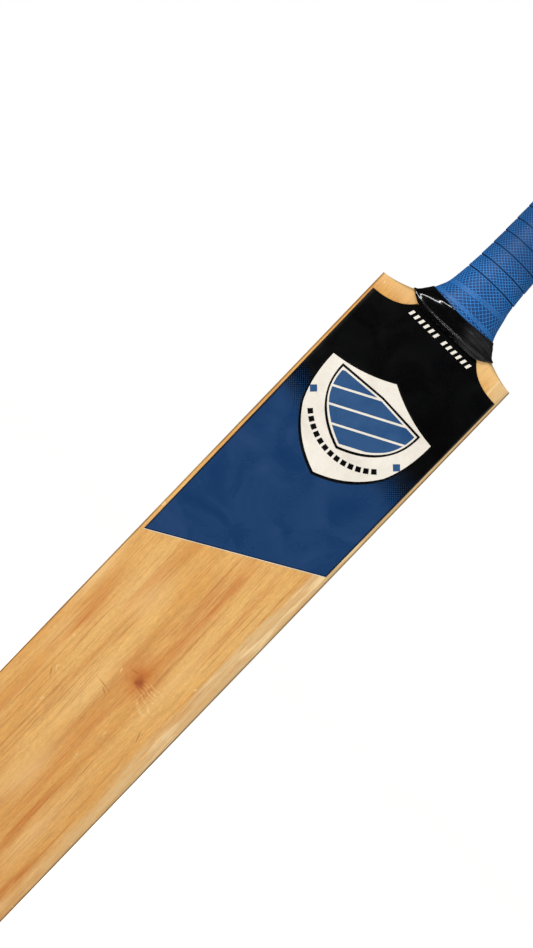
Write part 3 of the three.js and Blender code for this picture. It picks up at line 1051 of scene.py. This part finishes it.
def curveThrough(start, control, end, steps=12):  # one soft bend, without its last point
    points = []
    for i in range(steps):
        t = i / steps
        points.append(tuple((1 - t) ** 2 * a + 2 * t * (1 - t) * b + t * t * c
                            for a, b, c in zip(start, control, end)))
    return points


def mirrored(half):  # a right-hand half outline from foot to head, closed by its mirror image
    return half + [(-x, z) for x, z in reversed(half) if abs(x) > 1e-6]


def labelOutline(drop=0.0):  # drop lowers the foot
    scoopZ = shoulderZ - label["scoop"]
    right = [(label["lowHalf"], label["rightFoot"] - drop)]
    pull = (label["flatHalf"] + label["scoopPull"], scoopZ + label["scoopLift"])
    right += curveThrough((label["topHalf"], scoopZ), pull, (label["flatHalf"], shoulderZ))
    right.append((label["flatHalf"], shoulderZ))
    left = [(-x, z) for x, z in reversed(right[1:])]
    return right + left + [(-label["lowHalf"], label["leftFoot"] - drop)]


shield = {
    "apex": shieldHigh.z, "tip": shieldLow.z, "half": shieldHigh.x,
    "cornerZ": shoulderZ - 56 * mm, "waistZ": shoulderZ - 92 * mm, "waistHalf": 36 * mm,
    "rim": 1.5 * mm, "tipShrink": 1.3, "apexShrink": 1.1,
    "tipPull": 12 * mm, "tipLift": 8 * mm, "sidePull": 20 * mm, "browPull": 20 * mm, "browLift": 2 * mm,
}


def shieldOutline(inset):
    half, waist = shield["half"] - inset, shield["waistHalf"] - inset
    tip, apex = shield["tip"] + shield["tipShrink"] * inset, shield["apex"] - shield["apexShrink"] * inset
    corner, waistZ = shield["cornerZ"] - inset, shield["waistZ"]
    right = curveThrough((0, tip), (waist - shield["tipPull"], tip + shield["tipLift"]), (waist, waistZ))
    right += curveThrough((waist, waistZ), (half, corner - shield["sidePull"]), (half, corner))
    right += curveThrough((half, corner), (shield["browPull"], corner + shield["browLift"]), (0, apex))
    right.append((0, apex))
    return mirrored(right)


# a curved sheet's margin past its outline, its cells, and how far its cutter reaches
vinyl = {
    "margin": 1 * mm, "cellWide": 2 * mm, "cellTall": 6 * mm,
    "edgeMargin": 0.4 * mm, "reach": 40 * mm,
}


def cutVinyl(name, outlines, lift, thickness, material, node=None):
    xs = [x for outline in outlines for x, z in outline]
    zs = [z for outline in outlines for x, z in outline]
    margin = vinyl["margin"]
    wide, tall = max(xs) - min(xs) + 2 * margin, max(zs) - min(zs) + 2 * margin
    centreX, centreZ = (max(xs) + min(xs)) / 2, (max(zs) + min(zs)) / 2
    clearSelection()
    bpy.ops.mesh.primitive_grid_add(x_subdivisions=max(4, int(wide / vinyl["cellWide"])),
                                    y_subdivisions=max(4, int(tall / vinyl["cellTall"])), size=1,
                                    location=(centreX, 0, centreZ), rotation=(math.radians(90), 0, 0))
    sheet = newPiece(name)
    sheet.scale = (wide, tall, 1)
    settle(sheet)
    edge = blank["halfWidth"] - vinyl["edgeMargin"]
    for corner in sheet.data.vertices:
        corner.co.y = faceY(min(abs(corner.co.x), edge), corner.co.z) - lift
    applyModifier(sheet, "SOLIDIFY", thickness=thickness, offset=1.0)
    cutter = outlinePrism("vinylCutter", outlines, axisY - vinyl["reach"], axisY + vinyl["reach"])
    cutWith(sheet, cutter, "INTERSECT")
    finishPiece(sheet, node, material, 30)
    return sheet


def bentBar(x, z, radius, low, high, width, steps):  # an arc of a ring, angles in degrees
    angles = [math.radians(low + (high - low) * i / steps) for i in range(steps + 1)]
    outer, inner = ([(x + reach * math.cos(a), z + reach * math.sin(a)) for a in angles]
                    for reach in (radius + width / 2, radius - width / 2))
    return outer + inner[::-1]


def diamond(x, z, size):
    return [(x, z - size), (x + size, z), (x, z + size), (x - size, z)]


def clipBand(outline, low, high, slope):  # the part of a convex outline between two slanted lines
    def cut(points, limit, keepAbove):
        kept = []
        for (x1, z1), (x2, z2) in zip(points, points[1:] + points[:1]):
            d1, d2 = z1 - slope * x1 - limit, z2 - slope * x2 - limit
            in1, in2 = (d1 >= 0) == keepAbove, (d2 >= 0) == keepAbove
            if in1:
                kept.append((x1, z1))
            if in1 != in2:
                t = d1 / (d1 - d2)
                kept.append((x1 + (x2 - x1) * t, z1 + (z2 - z1) * t))
        return kept
    return cut(cut(outline, low, True), high, False)


crest = {
    "topZ": shoulderZ - 58 * mm, "tipZ": shoulderZ - 99 * mm,
    "topHalf": 33 * mm, "waistHalf": 28 * mm, "waistZ": shoulderZ - 78 * mm,
    "rim": 1.4 * mm, "gap": 1.2 * mm, "tipShrink": 1.2,
    "tipPull": 8 * mm, "tipLift": 7 * mm, "sidePull": 8 * mm, "browLift": 2 * mm,
    "stripes": 4, "stripeGap": 0.65, "slope": 0.5,
    "arcRadius": 41 * mm, "arcZ": shoulderZ - 62.5 * mm, "arcReach": 45, "arcWidth": 3.4 * mm,
    "dashes": 13, "dashGap": 0.16, "dashSteps": 3,
    "diamondX": 35.5 * mm, "diamondZ": shoulderZ - 81.7 * mm, "diamondSize": 3.1 * mm,
}

ticks = {
    "perSide": 6, "pitch": 4.1 * mm, "start": 3.4 * mm,
    "height": 3.4 * mm, "width": 1.9 * mm, "lean": 0.6 * mm, "z": shoulderZ - 6.2 * mm,
}


def crestOutline(inset):
    half, waist, top = crest["topHalf"] - inset, crest["waistHalf"] - inset, crest["topZ"] - inset
    tip, middle = crest["tipZ"] + crest["tipShrink"] * inset, crest["waistZ"]
    right = curveThrough((0, tip), (waist - crest["tipPull"], tip + crest["tipLift"]), (waist, middle))
    right += curveThrough((waist, middle), (half, middle + crest["sidePull"]), (half, top), 6)
    right += [(half, top), (0, top + crest["browLift"])]
    return mirrored(right)


def crestStripes():
    field = crestOutline(crest["rim"] + crest["gap"])
    spans = [z - crest["slope"] * x for x, z in field]
    low, step = min(spans), (max(spans) - min(spans)) / crest["stripes"]
    gap = crest["gap"] * crest["stripeGap"]
    return [clipBand(field, low + i * step + gap, low + (i + 1) * step - gap, crest["slope"])
            for i in range(crest["stripes"])]


def tickRow():
    outlines = []
    half, tall, lean, z = ticks["width"] / 2, ticks["height"] / 2, ticks["lean"], ticks["z"]
    for side in (-1, 1):
        for i in range(ticks["perSide"]):
            x = side * (ticks["start"] + i * ticks["pitch"])
            outlines.append([(x - half - lean, z - tall), (x + half - lean, z - tall),
                             (x + half + lean, z + tall), (x - half + lean, z + tall)])
    return outlines


def dashRow():
    reach, gap = crest["arcReach"], crest["dashGap"]
    step = 2 * reach / crest["dashes"]
    starts = [270 - reach + i * step for i in range(crest["dashes"])]
    return [bentBar(0, crest["arcZ"], crest["arcRadius"], low + gap * step, low + (1 - gap) * step,
                    crest["arcWidth"], crest["dashSteps"]) for low in starts]


def buildLabels():
    base, layer = label["lift"], label["ink"]
    top = base + label["thickness"]
    cutVinyl("labelBacking", [labelOutline(label["backingDrop"])], label["backingLift"], label["backing"],
             whiteInk)
    cutVinyl("faceLabel", [labelOutline()], base, label["thickness"],
             printedVinyl, "face_label")
    gems = [diamond(side * crest["diamondX"], crest["diamondZ"], crest["diamondSize"])
            for side in (-1, 1)]
    # name, outlines, how many layers lie below, ink, and the node it stands for
    for name, outlines, below, ink, node in (
            ("tickRow", tickRow(), 0, whiteInk, None),
            ("shieldRim", [shieldOutline(0)], 0, blackInk, None),
            ("shieldField", [shieldOutline(shield["rim"])], 1, whiteInk, "shield_label"),
            ("crestRim", [crestOutline(0)], 2, blackInk, None),
            ("crestField", [crestOutline(crest["rim"])], 3, whiteInk, None),
            ("crestStripes", crestStripes(), 4, blueInk, None),
            ("lowerDashes", dashRow(), 2, blackInk, None),
            ("sideDiamonds", gems, 2, blueInk, None)):
        cutVinyl(name, outlines, top + below * layer, layer, ink, node)


buildLabels()
print("labels built")


studio = {
    "lens": 100, "distance": 1.625, "nearClip": 50 * mm,
    "aimX": -19.6 * mm, "aimZ": shoulderZ - 140 * mm,
    "roll": 43.9,
    "floorSize": 14,
    "worldGlow": 0.64, "glossGlow": 0.012, "floorGlow": 0.45,
    "lampAim": (0, 0, 0.45),
    # name, place, width and height, power, and whether it shows in reflections
    "lamps": [
        ("keyPanel", (-2.4, -2.6, 2.2), (1.2, 1.6), 68, True),
        ("glintStrip", (-0.55, -2.2, 2.6), (1.0, 0.22), 12, True),
        ("fillPanel", (1.8, -1.5, 0.7), (0.9, 1.6), 4, True),
        ("backPanel", (0.6, 1.9, 1.6), (1.2, 1.2), 16, False),
    ],
}


def floorMaterial():
    material, place = newMaterial("paleFloor", Roughness=0.9, Specular_IOR_Level=0.1,
                                  Emission_Strength=studio["floorGlow"])
    patch = noiseAt(place, 3, 3)
    pale = blendColours(patch, tint("f4f4f3"), tint("fafaf9"))
    inputs = material.node_tree.nodes["Principled BSDF"].inputs
    linkUp(pale, inputs["Base Color"])
    distance = addNode("VectorMath", {0: place}, operation="LENGTH").outputs["Value"]
    glow = spread(distance, 0.1, 0.4, 0.1, 1.0, True)  # dimmer under the bat
    linkUp(blendColours(glow, (0, 0, 0, 1), pale), inputs["Emission Color"])
    return material


def softLight(name, place, size, power, isMirrored):
    data = bpy.data.lights.new(name, "AREA")
    data.shape = "RECTANGLE"
    data.size, data.size_y = size
    data.energy = power
    lamp = bpy.data.objects.new(name, data)
    lamp.location = place
    aim = Vector(studio["lampAim"]) - Vector(place)
    lamp.rotation_euler = aim.to_track_quat("-Z", "Y").to_euler()
    lamp.visible_glossy = isMirrored
    bpy.context.scene.collection.objects.link(lamp)


def buildStudio():
    clearSelection()
    bpy.ops.mesh.primitive_plane_add(size=studio["floorSize"], location=(0, 0, 0))
    floor = newPiece("floor")
    floor.data.materials.append(floorMaterial())
    floor.visible_glossy = False
    world = bpy.data.worlds.new("paleRoom")
    bpy.context.scene.world = world
    world.use_nodes = True
    making["tree"] = world.node_tree
    rays = addNode("LightPath").outputs
    extra = times(rays["Is Camera Ray"], 1.0 - studio["worldGlow"])
    glow = sums("ADD", extra, studio["worldGlow"])
    dim = sums("SUBTRACT", 1.0, rays["Is Glossy Ray"])
    level = sums("MAXIMUM", times(glow, dim), studio["glossGlow"])
    linkUp(level, world.node_tree.nodes["Background"].inputs["Color"])
    for lamp in studio["lamps"]:
        softLight(*lamp)
    data = bpy.data.cameras.new("camera")
    data.lens = studio["lens"]
    data.clip_start = studio["nearClip"]
    camera = bpy.data.objects.new("camera", data)
    faceFront = faceY(0, shoulderZ / 2)
    camera.location = (studio["aimX"], faceFront - studio["distance"], studio["aimZ"])
    camera.rotation_euler = (math.radians(90), -math.radians(studio["roll"]), 0)
    bpy.context.scene.collection.objects.link(camera)
    bpy.context.scene.camera = camera
    bpy.context.scene.view_settings.view_transform = "Standard"


buildStudio()
print("studio ready")
